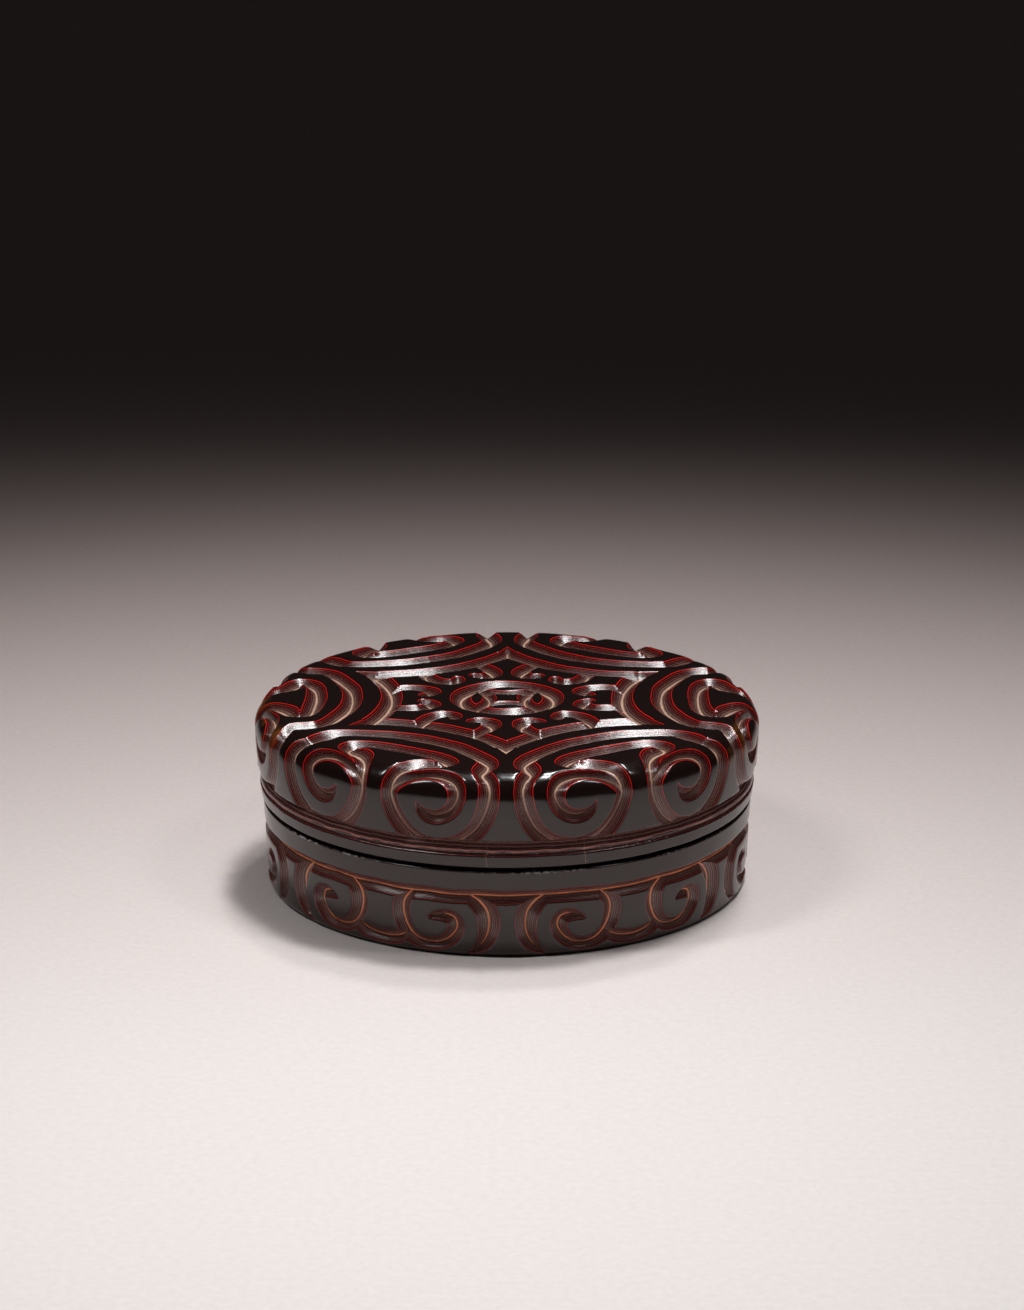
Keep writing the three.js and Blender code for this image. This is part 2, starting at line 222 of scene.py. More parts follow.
def both_sides(rows):
    return [rows, rows * (-1, 1, 1)]


def across(rows):
    """A line over a head's axis, from its half that starts there."""
    return np.concatenate([np.flip(rows[1:], 0) * (-1, 1, 1), rows])


# Floors of the grooves, as rows of degrees from a head's axis, millimetres along the outline (or up, on
# the box) and half the groove's width. Hooks and arcs are drawn across and along the head's axis.
STAR = {"along": 18.25, "half_span": 12.35, "radius": 25.6, "half": 1.92}
STAR_TIP = [(30, 24.6, 1.92), (30, 26.5, 0.95), (30, 28.3, 0.08)]
SECOND = [
    (0, 24.45, 1.85), (7, 24.85, 1.85), (13.4, 25.95, 1.82), (17.2, 27.2, 1.8), (20.5, 28.6, 1.77),
    (23.3, 30.2, 1.77), (25, 31.9, 1.8), (25.1, 33.4, 1.98), (24.6, 35, 2.02), (24.3, 36.3, 1.74),
    (24.7, 37.4, 1.5), (25.7, 38.6, 1.6), (26.3, 40.2, 1.68), (26.2, 42, 1.7), (25.5, 44, 1.7),
    (24, 46.2, 1.6), (21.8, 47.9, 1.5), (18.8, 49.1, 1.4), (15, 49.6, 1.3)]
THIRD = [
    (0, 30.25, 1.85), (5, 30.45, 1.8), (10, 31.1, 1.78), (13.2, 32.1, 1.8), (14.7, 33.3, 1.78),
    (14.5, 34.2, 1.76), (12.8, 34.75, 1.95), (10, 35.05, 2.1), (7.2, 36, 1.95), (5.1, 37.7, 1.58),
    (4.1, 39.8, 1.45), (3.8, 42, 1.42)]
COVER_VOLUTE = [
    (15, 49.6, 1.3), (11.2, 49.1, 1.4), (8.2, 47.9, 1.5), (5.9, 46.1, 1.55), (4.4, 44, 1.48),
    (3.8, 42, 1.42), (4.6, 40.7, 1.3), (6.6, 39.5, 1.1), (9, 38.6, 1.02), (12, 38.1, 1.05),
    (15, 38.1, 1.3), (17.8, 38.9, 1.55), (19.2, 40.4, 1.5), (19.1, 42.3, 1.36), (17.6, 43.9, 1.26),
    (15, 44.75, 1.2), (12.6, 44.5, 1.05), (11.1, 43.7, 0.7), (10.4, 42.8, 0.3)]
HOOK = [
    (4.6, 18.8, 1.4), (5.2, 17, 1.55), (5.4, 15.2, 1.62), (5.1, 13.5, 1.7), (4.1, 12.2, 1.8),
    (2.9, 11.9, 1.6), (1.9, 12.5, 1.3), (1.6, 13, 1.1)]
QUATREFOIL = {"along": 2.8, "half_span": 4.6, "radius": 6.5, "half": 1.25}
CENTRE_RING = {"along": 7.3, "half": 1.88}
BOX_VOLUTE = [
    (9.2, 10.1, 0.8), (7.1, 9.1, 1.3), (5.8, 7.8, 1.6), (5.6, 6.2, 1.65), (6.3, 4.4, 1.45),
    (7.6, 3, 1.3), (9.4, 2.15, 1.15), (12, 1.78, 1.1), (14.8, 2.05, 1.15), (17.1, 3.1, 1.3),
    (18.4, 4.7, 1.48), (17.8, 6, 1.32), (15.9, 6.5, 1.1), (14.2, 6.35, 0.8), (12.9, 6.1, 0.45),
    (12.1, 5.9, 0.12)]
BRACKET = [
    (21, 10, 0.9), (23.6, 8.8, 1.65), (25.4, 7.2, 1.88), (25.9, 5.5, 1.88), (25.6, 3.8, 1.65),
    (24.5, 2.3, 1.25), (22.7, 1.1, 0.65), (21, 0.5, 0.2)]
CUP = [(0, 1.65, 1.25), (2, 1.75, 1.25), (4.4, 2.15, 1.2), (7, 3.1, 0.9)]
BOX_RING = {"along": 9.8, "half": 1.15}

# The bead round the cover's foot, which ends the grooves: lengths along the outline, and how far the
# surface lies back there
COVER_BEAD = [
    (48.35, 0), (48.44, 0.08), (48.8, 1.08), (48.87, 1.16), (48.95, 1.13), (49.08, 1.02), (49.72, 0.47),
    (49.9, 0.34), (50.1, 0.23), (50.42, 0.16), (50.52, 0.24), (50.66, 0.46), (50.74, 0.44), (50.9, 0.14),
    (51.05, 0)]
BEAD_FROM = 48.87
BEAD_STEP = 0.08
BEAD_SIDES = 720
BEAD_WANDER = 0.03

# The bead is turned from deeper coats: the depth of the first, and how fast they follow down its face
BEAD_COAT = 0.395
BEAD_COATS_BY = 0.5
BEAD_FACE_TO = 50.45


def turned_round(kinds):
    """Each kind of groove at every head."""
    return [[rows + (axis, 0, 0) for rows in kind for axis in HEAD_AXES] for kind in kinds]


def cover_grooves():
    kinds = turned_round([
        [crown(**STAR), smooth(STAR_TIP)],
        [across(smooth(SECOND)), across(smooth(THIRD))],
        both_sides(smooth(COVER_VOLUTE)),
        both_sides(smooth(from_plan(HOOK))),
    ])
    petal = crown(**QUATREFOIL)
    kinds.append([petal + (axis, 0, 0) for axis in (0, 90, 180, 270)])
    kinds.append([ring(**CENTRE_RING)])
    return kinds


def box_grooves(outline):
    """The box's knots give heights, which become lengths along its outline."""
    volute, bracket = both_sides(smooth(BOX_VOLUTE)), both_sides(smooth(BRACKET))
    kinds = turned_round([volute, bracket, [across(smooth(CUP))]])
    kinds.append([ring(**BOX_RING)])
    rim_s = length_at(outline, BOX_RIM_Z - RIM_ROUND) - RIM_ROUND
    return [[rows * (1, -1, 1) + (0, rim_s + BOX_RIM_Z, 0) for rows in kind] for kind in kinds]


def sampled(outline, rows, step):
    """Even steps along a groove: angle, length along the outline, half width and the way it runs."""
    theta, s = np.radians(rows[:, 0]), rows[:, 1]
    xyz, _ = place(outline, theta, s)
    run = np.concatenate([[0], np.cumsum(np.linalg.norm(np.diff(xyz, axis=0), axis=1))])
    at = np.linspace(0, run[-1], max(round(run[-1] / step), 2) + 1)
    theta, s, half = (np.interp(at, run, x) for x in (theta, s, rows[:, 2]))
    xyz, _ = place(outline, theta, s)
    way = np.gradient(xyz, axis=0)
    return theta, s, half, way / np.linalg.norm(way, axis=1, keepdims=True)


class Kind:
    """All grooves of one kind, to be asked for the nearest floor."""

    def __init__(self, outline, lines, first_number):
        parts = []
        for i, rows in enumerate(lines):
            theta, s, half, way = sampled(outline, rows, SAMPLE_STEP)
            parts.append((place(outline, theta, s)[0], half, way, np.full(len(s), first_number + i)))
        self.points, self.halves, self.ways, self.numbers = (np.concatenate(x) for x in zip(*parts))
        self.tree = KDTree(len(self.points))
        for i, p in enumerate(self.points):
            self.tree.insert(p, i)
        self.tree.balance()

    def from_floor(self, xyz):
        """The way from the nearest floor to each point, that groove's half width and its number."""
        find = self.tree.find
        nearest = np.array([find(p)[1] for p in xyz])
        v = xyz - self.points[nearest]
        way = self.ways[nearest]
        along = np.clip((v * way).sum(1), -SAMPLE_STEP / 2, SAMPLE_STEP / 2)
        return v - along[:, None] * way, self.halves[nearest], self.numbers[nearest]


def waves(seed, size, count=14):
    """A smooth random field in space, about -1 to 1, whose features are about size mm across."""
    rng = np.random.default_rng(seed)
    k = rng.normal(size=(count, 3)) * (2 * math.pi / size / 1.7)
    phase = rng.uniform(0, 2 * math.pi, count)
    return lambda xyz: np.sin(xyz @ k.T + phase).sum(1) / math.sqrt(count)


WANDER = [waves(seed, 14) for seed in (1, 2, 3)]
WANDER_BY = 0.1
WIDTH_WAVES = waves(4, 9)
WIDTH_BY = 0.03
LAND_WAVES = waves(5, 7)
LAND_BY = 0.018

# The skin is a net of points that follow the grooves: rows at (share of the half width, mm beyond it)
ROWS = [(0, 0), (0, 0.12), (0.38, 0), (0.7, 0), (1, -0.13), (1, 0), (1, 0.13), (1, 0.42)]
ALONG = 0.34
FAN_STEP = 15
FIT = 0.4
LAND_GRID = 0.6
APART = 0.07
LAND_CLEAR = 0.15
CREASE_DEPTH = 0.02
BORDER_CLEAR = 0.05


def floor_depth(half):
    return DEEPEST * np.tanh(half)


def cut_depth(half, d, edge_round):
    """Depth of a groove at a distance d from its floor, with a softened edge and floor."""
    x = 1 - np.sqrt((d / half) ** 2 + FLOOR_ROUND ** 2)
    return floor_depth(half) / 2 * (x + np.sqrt(x ** 2 + (edge_round / half) ** 2))


def thinned(q, apart):
    """Which points stay, in their order, when none may come closer than that to an earlier one."""
    tree = KDTree(len(q))
    flat = np.concatenate([q, np.zeros((len(q), 1))], 1)
    for i, p in enumerate(flat):
        tree.insert(p, i)
    tree.balance()
    gone = np.zeros(len(q), bool)
    for i, p in enumerate(flat):
        if not gone[i]:
            for _, j, _ in tree.find_range(p, apart):
                if j > i:
                    gone[j] = True
    return ~gone


class Coat:
    """A carved skin over an outline. Its net is laid out on a plane, as if seen from above, with the
    length along the outline, plus a hub, as the distance from the middle."""

    def __init__(self, outline, grooves, hub, bead=()):
        self.outline, self.hub, self.bead = outline, hub, bead
        self.lines = [rows for lines in grooves for rows in lines]
        starts = np.cumsum([0] + [len(lines) for lines in grooves])
        self.kinds = [Kind(outline, lines, start) for lines, start in zip(grooves, starts)]

    def to_plane(self, theta, s):
        rho = s + self.hub
        return np.stack([rho * np.sin(theta), -rho * np.cos(theta)], -1)

    def from_plane(self, q):
        return np.arctan2(q[:, 0], -q[:, 1]), np.hypot(q[:, 0], q[:, 1]) - self.hub

    def slide(self, q, step):
        """Moves points of the plane by steps given in space."""
        theta, s = self.from_plane(q)
        r, _, nr, nz = self.outline(s)
        east = np.stack([np.cos(theta), np.sin(theta)], 1)
        out = np.stack([np.sin(theta), -np.cos(theta)], 1)
        stretch = (s + self.hub) / np.maximum(r, 0.01)
        sideways = (step[:, :2] * east).sum(1) * stretch
        outwards = (step[:, :2] * out).sum(1) * nz - step[:, 2] * nr
        return q + sideways[:, None] * east + outwards[:, None] * out

    def nearest(self, q):
        """The way from the floor of the groove that cuts deepest, its half width and its number."""
        xyz, _ = place(self.outline, *self.from_plane(q))
        asked = xyz + WANDER_BY * np.stack([f(xyz) for f in WANDER], 1)
        wider = 1 + WIDTH_BY * WIDTH_WAVES(xyz)
        best = np.full(len(q), -np.inf)
        away, half, number = np.zeros((len(q), 3)), np.zeros(len(q)), np.zeros(len(q), int)
        for kind in self.kinds:
            v, w, line = kind.from_floor(asked)
            w = w * wider
            cut = floor_depth(w) * (1 - np.linalg.norm(v, axis=1) / w)
            better = cut > best
            best[better], away[better] = cut[better], v[better]
            half[better], number[better] = w[better], line[better]
        return away, half, number

    def laid_back(self, q):
        """How far the bead lies back behind the outline."""
        if not self.bead:
            return np.zeros(len(q))
        theta, s = self.from_plane(q)
        xyz, _ = place(self.outline, theta, s)
        at, back = zip(*self.bead)
        return np.interp(s + BEAD_WANDER * WIDTH_WAVES(xyz), at, back)

    def off_bead(self, q):
        """Which points of the plane lie clear of the bead."""
        if not self.bead:
            return np.ones(len(q), bool)
        s = self.from_plane(q)[1]
        return (s < BEAD_FROM - BEAD_WANDER) | (s > self.bead[-1][0] + 0.1)

    def bead_lead(self, q):
        """How much deeper the bead lies than the grooves, with the nearest one's half width and distance."""
        away, half, _ = self.nearest(q)
        d = np.linalg.norm(away, axis=1)
        return self.laid_back(q) - cut_depth(half, d, EDGE_ROUND), half, d

    def bead_rows(self):
        """Rows of points on the bead, without those above it that a groove takes, and the points in the
        rows where the deeper of the two changes."""
        first, last = self.bead[0][0] - 0.2, self.bead[-1][0] + 0.2
        rows = np.stack([self.ring(s, BEAD_SIDES) for s in np.arange(first, last, BEAD_STEP)])
        here, there = rows.reshape(-1, 2), np.roll(rows, -1, axis=1).reshape(-1, 2)
        lead, half, d = self.bead_lead(here)
        lead_there = np.roll(lead.reshape(rows.shape[:2]), -1, axis=1).ravel()
        above = self.from_plane(here)[1] < BEAD_FROM - BEAD_STEP / 2
        kept = ~above | (lead > -0.001) & ((d > half + 0.1) | (lead > 0.02))
        turns = ((lead > 0) != (lead_there > 0)) & above
        share = (lead / (lead - lead_there + 1e-12))[turns, None]
        met = here[turns] * (1 - share) + there[turns] * share
        _, met_half, met_d = self.bead_lead(met)
        return [(met, met_half, met_d), (here[kept], half[kept], d[kept])]

    def strip(self, q, side, half, rows, number):
        """Net points in rows along a groove: plane points, share and extra of each, and its number."""
        sign, share, extra = (np.broadcast_to(x, (len(q), len(rows))) for x in zip(*rows))
        offset = sign * (share * half[:, None] + extra)
        points = [self.slide(q, side * offset[:, [k]]) for k in range(len(rows))]
        return np.stack(points, 1), share, extra, np.full(share.shape, number)

    def strips(self):
        """Strips along all grooves, and fans round those ends that lie open."""
        right = [(1, share, extra) for share, extra in ROWS]
        left = [(-1, share, extra) for share, extra in ROWS[:0:-1]]
        made = []
        for number, rows in enumerate(self.lines):
            theta, s, half, way = sampled(self.outline, rows, ALONG)
            side = np.cross(way, place(self.outline, theta, s)[1])
            q = self.to_plane(theta, s)
            made.append(self.strip(q, side, half, left + right, number))
            if np.linalg.norm(q[0] - q[-1]) < ALONG / 2:
                continue
            for end, sign in ((0, -1), (-1, 1)):
                turn = np.radians(np.arange(FAN_STEP, 180, FAN_STEP))[:, None]
                fan = side[end] * np.cos(turn) + sign * way[end] * np.sin(turn)
                middle = np.repeat(q[[end]], len(fan), 0)
                made.append(self.strip(middle, fan, np.full(len(fan), half[end]), right[1:], number))
        return made

    def creases(self, strips, found):
        """Points where two grooves meet: between net neighbours whose deepest groove differs."""
        a, b, one = [], [], []
        start = 0
        for q, share, _, _ in strips:
            number = found[start:start + share.size].reshape(share.shape)
            start += share.size
            for here, there, n, m in ((q[:-1], q[1:], number[:-1], number[1:]),
                                      (q[:, :-1], q[:, 1:], number[:, :-1], number[:, 1:])):
                a.append(here[n != m])
                b.append(there[n != m])
                one.append(n[n != m])
        a, b, one = np.concatenate(a), np.concatenate(b), np.concatenate(one)
        for _ in range(6):
            middle = (a + b) / 2
            same = (self.nearest(middle)[2] == one)[:, None]
            a, b = np.where(same, middle, a), np.where(same, b, middle)
        q = (a + b) / 2
        away, half, _ = self.nearest(q)
        d = np.linalg.norm(away, axis=1)
        met = (half - d > CREASE_DEPTH) & self.off_bead(q)
        return q[met], half[met], d[met]

    def land(self, q):
        """Of some points of the plane, those clear of all grooves."""
        away, half, _ = self.nearest(q)
        d = np.linalg.norm(away, axis=1)
        clear = d - half > ROWS[-1][1] + LAND_CLEAR
        return q[clear], half[clear], d[clear]

    def lattice(self, first, last):
        """Evenly strewn points between two lengths along the outline."""
        size = last + self.hub
        x = np.arange(-size, size, LAND_GRID)
        y = np.arange(-size, size, LAND_GRID * math.sqrt(0.75))
        grid = np.stack(np.meshgrid(x, y), -1)
        grid[1::2, :, 0] += LAND_GRID / 2
        grid = grid.reshape(-1, 2)
        s = np.hypot(grid[:, 0], grid[:, 1]) - self.hub
        return grid[(s > first) & (s < last)]

    def ring(self, s, count):
        theta = np.linspace(0, 2 * math.pi, count, endpoint=False)
        return self.to_plane(theta, np.full(count, s))

    def net(self, sides, rings, strewn):
        """All net points, with the half width and distance that give their depth. The points at the
        inner and outer border come first; rings are (length along the outline, number of points), and
        the rest of the land has strewn points between two lengths."""
        first, last = 0, self.outline.end
        borders = [self.ring(s, sides) for s in (first, last) if s + self.hub > 0]
        border = np.concatenate(borders)
        strips = self.strips()
        q = np.concatenate([x[0].reshape(-1, 2) for x in strips])
        share, extra, own = (np.concatenate([x[k].ravel() for x in strips]) for k in (1, 2, 3))
        away, half, found = self.nearest(q)
        d = np.linalg.norm(away, axis=1)
        target = share * half + extra
        settled = self.slide(q, away * ((target - d) / np.maximum(d, 1e-9))[:, None])
        kept = (found == own) & (np.abs(d - target) < FIT) & self.off_bead(settled)
        marked = (extra == 0) & ((share == 0) | (share == 1))
        flat = np.ones(len(border))
        groups = [(border, flat, 9 * flat), self.creases(strips, found)]
        if self.bead:
            groups += self.bead_rows()
        for chosen in (kept & marked, kept & ~marked):
            groups.append((settled[chosen], half[chosen], target[chosen]))
        groups.append(self.land(np.concatenate([self.ring(s, n) for s, n in rings])))
        groups.append(self.land(self.lattice(*strewn)))
        q, half, d = (np.concatenate(x) for x in zip(*groups))
        s = self.from_plane(q)[1]
        inside = (s > first + BORDER_CLEAR) & (s < last - BORDER_CLEAR)
        inside[:len(border)] = True
        inside[inside] = thinned(q[inside], APART)
        return q[inside], half[inside], d[inside], [len(b) for b in borders]


class Skin:
    """Vertices in space with their depth, and triangles, put together as one closed body."""

    def __init__(self):
        self.points, self.depths, self.faces, self.count = [], [], [], 0

    def add(self, xyz, depth, faces=()):
        ids = np.arange(self.count, self.count + len(xyz))
        self.points.append(xyz)
        self.depths.append(depth)
        if len(faces):
            self.faces.append(faces + self.count)
        self.count += len(xyz)
        return ids

    def circle(self, r, z, sides):
        if r == 0:
            return self.add(np.array([[0, 0, z]]), np.zeros(1))
        theta = np.linspace(0, 2 * math.pi, sides, endpoint=False)
        xyz = np.stack([r * np.sin(theta), -r * np.cos(theta), np.full(sides, z)], 1)
        return self.add(xyz, np.zeros(sides))

    def join(self, a, b):
        """Triangles from circle a to circle b, in the order in which an outline runs."""
        a1, b1 = np.roll(a, -1), np.roll(b, -1)
        if len(a) == 1:
            self.faces.append(np.stack([np.broadcast_to(a, b.shape), b, b1], 1))
        elif len(b) == 1:
            self.faces.append(np.stack([a, np.broadcast_to(b, a.shape), a1], 1))
        else:
            self.faces += [np.stack([a, b, b1], 1), np.stack([a, b1, a1], 1)]

    def mesh(self, name):
        points = (np.concatenate(self.points) * MM).astype(np.float32)
        faces = np.concatenate(self.faces).astype(np.int32)
        data = bpy.data.meshes.new(name)
        data.vertices.add(len(points))
        data.vertices.foreach_set("co", points.ravel())
        data.loops.add(faces.size)
        data.loops.foreach_set("vertex_index", faces.ravel())
        data.polygons.add(len(faces))
        data.polygons.foreach_set("loop_start", np.arange(0, faces.size, 3, dtype=np.int32))
        data.update(calc_edges=True)
        depth = data.attributes.new("depth", "FLOAT", "POINT")
        depth.data.foreach_set("value", np.concatenate(self.depths).astype(np.float32))
        data.shade_smooth()
        data.set_sharp_from_angle(angle=math.radians(50))
        return data


def carved_skin(coat, sides, rings, strewn):
    """The outside of a carved coat, with the numbers of the vertices on its borders."""
    q, half, d, borders = coat.net(sides, rings, strewn)
    triangles = delaunay_2d_cdt([tuple(p) for p in q], [], [], 0, 1e-9, False)[2]
    faces = np.array(triangles)
    if coat.hub:
        faces = faces[(faces >= borders[0]).any(1)]
    theta, s = coat.from_plane(q)
    xyz, normal = place(coat.outline, theta, s)
    worn = np.exp(-((xyz[:, 2] - WALL_TOP_Z - MOST_WORN_ABOVE) / WORN_OVER) ** 2)
    depth = cut_depth(half, d, EDGE_ROUND + WORN_ROUND * worn)
    layer = depth * COATS_T / np.clip(floor_depth(half), *FULL_FLOORS)
    if coat.bead:
        back = coat.laid_back(q)
        on_bead = s > BEAD_FROM
        depth = np.where(on_bead, back, np.maximum(depth, back))
        bead_layer = np.where(s < BEAD_FACE_TO, BEAD_COAT + BEAD_COATS_BY * back, back)
        layer = np.where(on_bead, bead_layer, np.maximum(layer, back))
    land = LAND_BY * (LAND_WAVES(xyz) - 1)
    skin = Skin()
    skin.add(xyz - normal * (depth - land)[:, None], layer, faces)
    ends = np.cumsum([0] + borders)
    return skin, [np.arange(a, b) for a, b in zip(ends, ends[1:])]


def add_piece(name, data, material, body, node):
    """Shows a mesh in the place of a node of the frame."""
    piece = bpy.data.objects.new(name, data)
    bpy.context.scene.collection.objects.link(piece)
    data.materials.append(material)
    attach(piece, body)
    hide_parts(node)


CARVED_SIDES = 512
PLAIN_SIDES = 256

# Distance between the rings of points round a rim and round the foot
RIM_STEP = 0.12
FOOT_STEP = 0.25


def cover_carving():
    """The carved top and wall, closed inside by the coat's bore and ceiling."""
    outline = cover_outline()
    coat = Coat(outline, cover_grooves(), 0, COVER_BEAD)
    edge = length_at(outline, COVER_RIM_Z + RIM_ROUND)
    rings = [(s, CARVED_SIDES) for s in np.arange(edge - 0.3, edge + 0.8, RIM_STEP)]
    skin, (rim,) = carved_skin(coat, CARVED_SIDES, rings, (0, edge - 0.6))
    ceiling = HEIGHT - COAT_TOP_T
    for r, z in ((COAT_INNER_R, ceiling), (0, ceiling)):
        row = skin.circle(r, z, CARVED_SIDES)
        skin.join(rim, row)
        rim = row
    return skin.mesh("cover_carving")


def box_carving():
    """The carved wall, closed inside by the coat's bore."""
    outline = box_outline()
    coat = Coat(outline, box_grooves(outline), COAT_INNER_R)
    edge = length_at(outline, BOX_RIM_Z - RIM_ROUND)
    foot = length_at(outline, FOOT_ROUND)
    rings = [(s, CARVED_SIDES) for s in np.arange(edge - 0.8, edge + 0.3, RIM_STEP)]
    rings += [(s, CARVED_SIDES) for s in np.arange(foot, outline.end, FOOT_STEP)]
    skin, (top, bottom) = carved_skin(coat, CARVED_SIDES, rings, (edge + 0.5, foot - 0.3))
    low = skin.circle(COAT_INNER_R, 0, CARVED_SIDES)
    skin.join(bottom, low)
    skin.join(low, top)
    return skin.mesh("box_carving")


def lathe(name, outline):
    """A closed solid of revolution; the outline runs with the outside on its left."""
    skin = Skin()
    rows = [skin.circle(r, z, PLAIN_SIDES) for r, z in outline]
    for a, b in zip(rows, rows[1:]):
        skin.join(a, b)
    if outline[0][0]:
        skin.join(rows[-1], rows[0])
    return skin.mesh(name)


def rounded(corners, steps=6):
    """The points of a profile from its corners, as radius, height and how much of the corner is round."""
    out = []
    for a, b, c in zip([corners[0], *corners], corners, [*corners[1:], corners[-1]]):
        here, size = np.array(b[:2], float), b[2]
        if not size:
            out.append(here)
            continue
        before, after = np.array(a[:2]) - here, np.array(c[:2]) - here
        p, q = (here + v / np.linalg.norm(v) * size for v in (before, after))
        for u in np.linspace(0, 1, steps):
            out.append((1 - u) ** 2 * p + 2 * u * (1 - u) * here + u ** 2 * q)
    return [tuple(p) for p in out]


def box_lining():
    """From the floor of the well up over the lip, down its outside and out along the ledge."""
    ledge = COVER_SEAT_Z - SEAT_GAP
    floor = FLOOR_Z + LINING_T
    inner, outer = WELL_R + LINING_T, LIP_OUTER_R - LINING_T
    return lathe("box_lining_coat", rounded([
        (0, floor, 0), (WELL_R, floor, WELL_FILLET), (WELL_R, LIP_TOP_Z, LIP_ROUND),
        (LIP_OUTER_R, LIP_TOP_Z, LIP_ROUND), (LIP_OUTER_R, ledge, LEDGE_FILLET),
        (LINING_EDGE_R, ledge, SOFT_EDGE), (LINING_EDGE_R, ledge - LINING_T, 0),
        (outer, ledge - LINING_T, 0), (outer, LIP_TOP_Z - LINING_T, 0), (inner, LIP_TOP_Z - LINING_T, 0),
        (inner, FLOOR_Z, 0), (0, FLOOR_Z, 0)]))


def cover_lining():
    """From the ceiling's back down to the seat, in under it and up the bore to the ceiling."""
    seat = COVER_SEAT_Z
    return lathe("cover_lining_coat", rounded([
        (0, CEILING_Z, 0), (WOOD_BORE_R, CEILING_Z, 0), (WOOD_BORE_R, seat + LINING_T, 0),
        (LINING_EDGE_R, seat + LINING_T, 0), (LINING_EDGE_R, seat, SOFT_EDGE),
        (COVER_BORE_R, seat, MOUTH_ROUND), (COVER_BORE_R, CEILING_Z - LINING_T, WELL_FILLET),
        (0, CEILING_Z - LINING_T, 0)]))


def base_coat():
    """A disc under the box, from the middle of its upper face round to the middle of the underside."""
    return lathe("box_base_skin", rounded([
        (0, BASE_TOP_Z, 0), (LINING_EDGE_R, BASE_TOP_Z, 0), (LINING_EDGE_R, 0, BASE_EDGE), (0, 0, 0)]))


# Materials


class Nodes:
    """A material's node tree, built by short calls."""

    def __init__(self, name):
        self.material = bpy.data.materials.new(name)
        self.material.use_nodes = True
        self.tree = self.material.node_tree
        self.shader = self.tree.nodes["Principled BSDF"]

    def add(self, kind, **settings):
        node = self.tree.nodes.new("ShaderNode" + kind)
        for name, value in settings.items():
            setattr(node, name, value)
        return node

    def link(self, a, b):
        self.tree.links.new(a, b)

    def noise(self, scale, detail=3, rough=0.55, stretch=(1, 1, 1)):
        """Noise in the object's own space; scale is in features per metre."""
        coordinates = self.add("TexCoord")
        mapping = self.add("Mapping")
        mapping.inputs["Scale"].default_value = stretch
        texture = self.add("TexNoise")
        texture.inputs["Scale"].default_value = scale
        texture.inputs["Detail"].default_value = detail
        texture.inputs["Roughness"].default_value = rough
        self.link(coordinates.outputs["Object"], mapping.inputs["Vector"])
        self.link(mapping.outputs["Vector"], texture.inputs["Vector"])
        return texture.outputs["Fac"]

    def math(self, operation, a, b):
        node = self.add("Math", operation=operation)
        for socket, value in zip(node.inputs, (a, b)):
            if isinstance(value, (int, float)):
                socket.default_value = value
            else:
                self.link(value, socket)
        return node.outputs[0]

    def spread(self, value, low, high, to_low, to_high):
        node = self.add("MapRange")
        for name, v in zip(("From Min", "From Max", "To Min", "To Max"), (low, high, to_low, to_high)):
            node.inputs[name].default_value = v
        self.link(value, node.inputs["Value"])
        return node.outputs["Result"]

    def blend(self, share, a, b):
        """From value a to value b."""
        node = self.add("Mix", data_type="FLOAT")
        for socket, value in zip((node.inputs[0], node.inputs[2], node.inputs[3]), (share, a, b)):
            self.link(value, socket)
        return node.outputs[0]

    def mix(self, how, share, a, b):
        """A colour mixed with another, which may be a plain colour or a value."""
        node = self.add("Mix", data_type="RGBA", blend_type=how)
        self.link(share, node.inputs[0])
        self.link(a, node.inputs[6])
        if isinstance(b, tuple):
            node.inputs[7].default_value = (*b, 1)
        else:
            self.link(b, node.inputs[7])
        return node.outputs[2]

    def ramp(self, value, stops):
        node = self.add("ValToRGB")
        elements = node.color_ramp.elements
        elements[0].position, elements[0].color = stops[0][0], (*stops[0][1], 1)
        elements[1].position, elements[1].color = stops[-1][0], (*stops[-1][1], 1)
        for at, colour in stops[1:-1]:
            elements.new(at).color = (*colour, 1)
        self.link(value, node.inputs["Fac"])
        return node.outputs["Color"]

    def bump(self, height, distance):
        node = self.add("Bump")
        node.inputs["Distance"].default_value = distance
        self.link(height, node.inputs["Height"])
        self.link(node.outputs["Normal"], self.shader.inputs["Normal"])

    def position(self):
        """Outputs X, Y and Z of the place in the object's own space, in metres."""
        node = self.add("SeparateXYZ")
        self.link(self.add("TexCoord").outputs["Object"], node.inputs[0])
        return node.outputs


# Colours of the coats by depth in millimetres: each line comes with the colour that follows it
BLACK = (0.010, 0.0045, 0.0038)
DEEP = (0.012, 0.005, 0.004)
TOP_LINES = [
    (0.145, (0.80, 0.012, 0.008), DEEP), (0.36, (0.26, 0.009, 0.007), DEEP),
    (0.53, (0.15, 0.012, 0.010), (0.018, 0.009, 0.008)),
    (0.71, (0.15, 0.034, 0.028), (0.036, 0.018, 0.015)),
    (0.90, (0.20, 0.080, 0.064), (0.11, 0.062, 0.050))]
TOP_FLOOR = [(0.36, 0.22, 0.16), (0.72, 0.44, 0.32)]
# The side coats are browner than the top's and are painted lighter too: partly their own colour, partly
# painted light for the stronger light on the side walls, most of all the box's bright orange floor line
SIDE_LAND = (0.026, 0.012, 0.009)
SIDE_LINES = [
    (0.145, (0.40, 0.050, 0.040), (0.022, 0.010, 0.009)),
    (0.33, (0.20, 0.060, 0.050), (0.032, 0.015, 0.013)),
    (0.50, (0.26, 0.095, 0.082), (0.050, 0.025, 0.022)),
    (0.68, (0.30, 0.12, 0.10), (0.072, 0.035, 0.031)),
    (0.87, (0.34, 0.15, 0.12), (0.10, 0.050, 0.043))]
COVER_SIDE_FLOOR = [(0.20, 0.090, 0.072), (0.38, 0.18, 0.135)]
